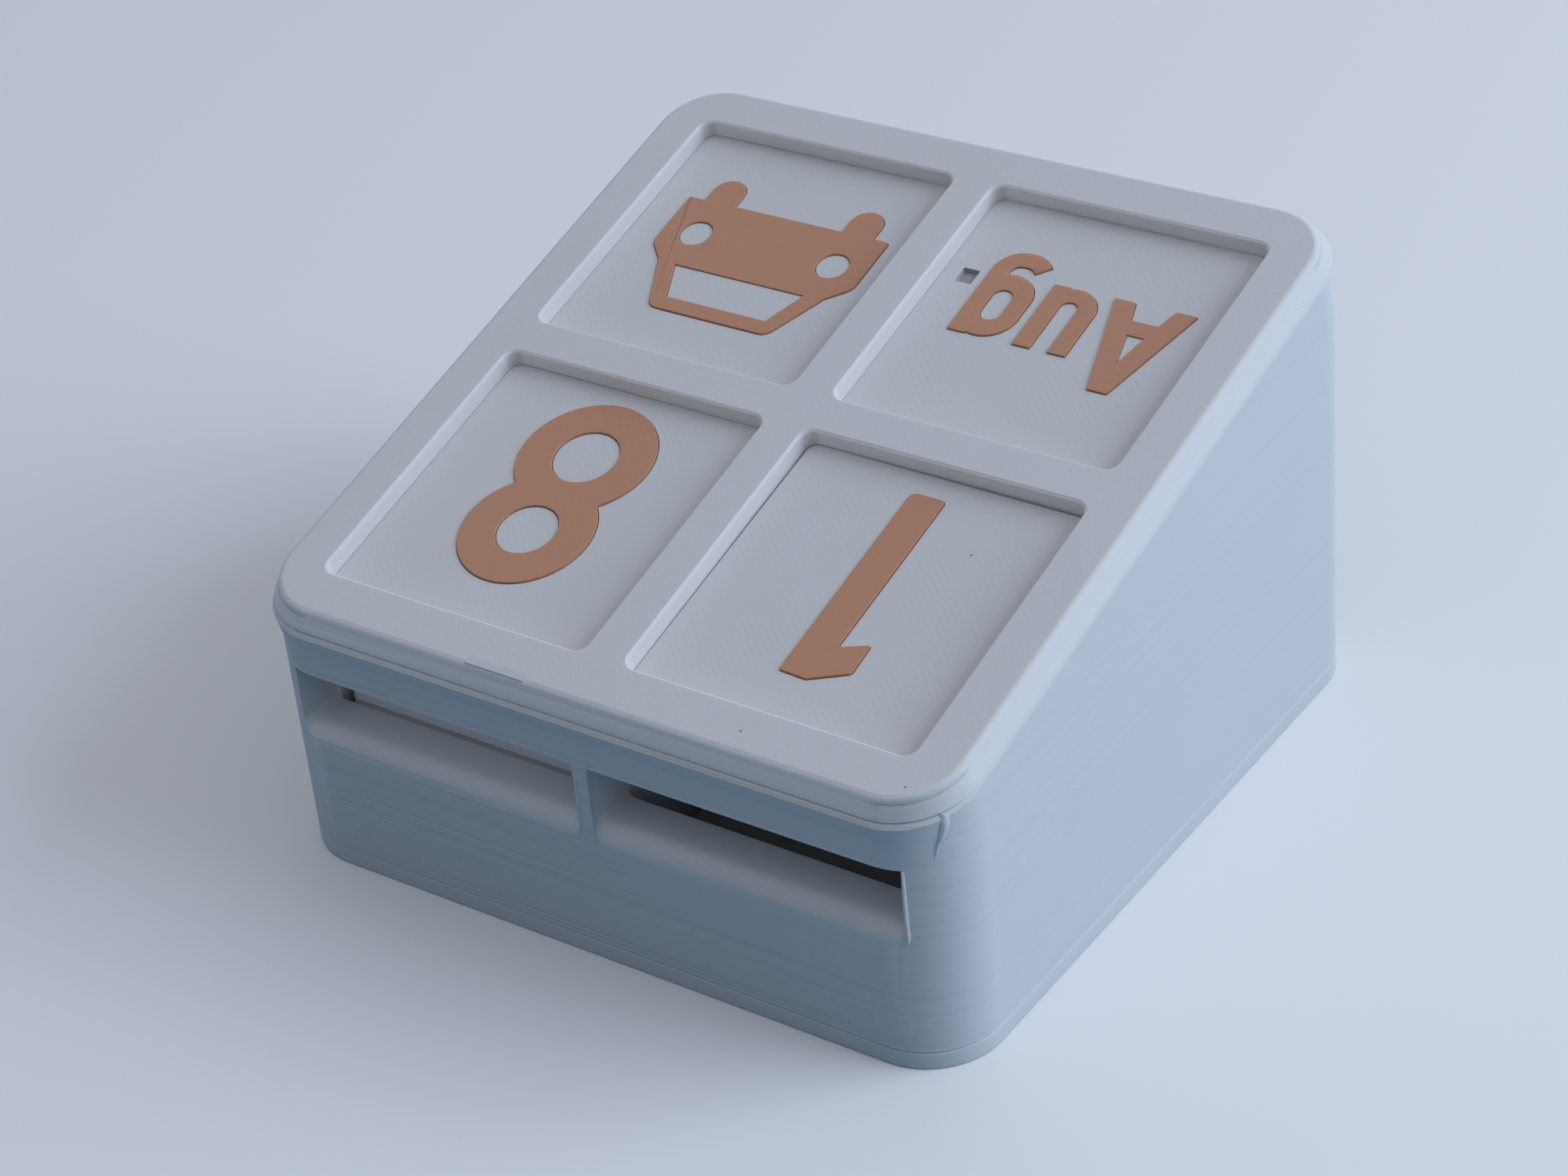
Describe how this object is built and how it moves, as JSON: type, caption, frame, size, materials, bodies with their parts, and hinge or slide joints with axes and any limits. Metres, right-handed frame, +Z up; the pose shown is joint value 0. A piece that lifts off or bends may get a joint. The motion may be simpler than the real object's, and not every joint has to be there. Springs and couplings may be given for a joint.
{
  "type": "desk calendar",
  "caption": "Wedge-shaped perpetual desk calendar: loose number, month and symbol tiles in front windows, open shafts for spare tiles, and a side drawer of tiles.",
  "frame": {"origin": "under the middle of the whole outline, on the surface that the back cover lies on", "axes": "+Z up with the calendar lying on its back cover, +X to the right along the low end, +Y from the low end with the shaft mouths to the tall end, which the calendar stands on in use"},
  "size_m": [0.1, 0.1016, 0.064],
  "materials": {
    "white_plastic": "matte printed layers",
    "figure_plastic": "matte printed layers, terracotta"
  },
  "bodies": {
    "case": {"housing": "white_plastic", "front_frame": "white_plastic", "back_cover": "white_plastic", "left_low_1_tile": "white_plastic", "left_low_2_tile": "white_plastic", "left_low_3_tile": "white_plastic", "left_low_4_tile": "white_plastic", "left_low_5_tile": "white_plastic", "right_low_1_tile": "white_plastic"},
    "drawer": {"drawer": "white_plastic", "drawer_tile_01": "white_plastic", "drawer_tile_02": "white_plastic", "drawer_tile_03": "white_plastic", "drawer_tile_04": "white_plastic", "drawer_tile_05": "white_plastic", "drawer_tile_06": "white_plastic", "drawer_tile_07": "white_plastic", "drawer_tile_08": "white_plastic", "drawer_tile_09": "white_plastic", "drawer_tile_10": "white_plastic"},
    "tens": {"tens_tile": "white_plastic", "tens_inlay": "figure_plastic"},
    "units": {"units_tile": "white_plastic", "units_inlay": "figure_plastic"},
    "symbol": {"symbol_tile": "white_plastic", "symbol_inlay": "figure_plastic"},
    "month": {"month_tile": "white_plastic"},
    "left_shaft_1": {"left_shaft_1_tile": "white_plastic"},
    "left_shaft_2": {"left_shaft_2_tile": "white_plastic"},
    "left_shaft_3": {"left_shaft_3_tile": "white_plastic", "left_shaft_3_inlay": "figure_plastic"},
    "right_shaft_1": {"right_shaft_1_tile": "white_plastic"}
  },
  "joints": [
    {"name": "drawer_slide", "type": "slide", "parent": "case", "child": "drawer", "axis": [-1, 0, 0], "range_m": [0, 0.07]},
    {"name": "tens_lift", "type": "slide", "parent": "case", "child": "tens", "axis": [0, -0.2588, 0.9659], "range_m": [0, 0.006]},
    {"name": "units_lift", "type": "slide", "parent": "case", "child": "units", "axis": [0, -0.2588, 0.9659], "range_m": [0, 0.006]},
    {"name": "symbol_lift", "type": "slide", "parent": "case", "child": "symbol", "axis": [0, -0.2588, 0.9659], "range_m": [0, 0.006]},
    {"name": "month_lift", "type": "slide", "parent": "case", "child": "month", "axis": [0, -0.2588, 0.9659], "range_m": [0, 0.006]},
    {"name": "left_shaft_1_slide", "type": "slide", "parent": "case", "child": "left_shaft_1", "axis": [0, -1, 0], "range_m": [0, 0.034]},
    {"name": "left_shaft_2_slide", "type": "slide", "parent": "case", "child": "left_shaft_2", "axis": [0, -1, 0], "range_m": [0, 0.034]},
    {"name": "left_shaft_3_slide", "type": "slide", "parent": "case", "child": "left_shaft_3", "axis": [0, -1, 0], "range_m": [0, 0.034]},
    {"name": "right_shaft_1_lift", "type": "slide", "parent": "case", "child": "right_shaft_1", "axis": [0, 0, 1], "range_m": [0, 0.0163]}
  ]
}
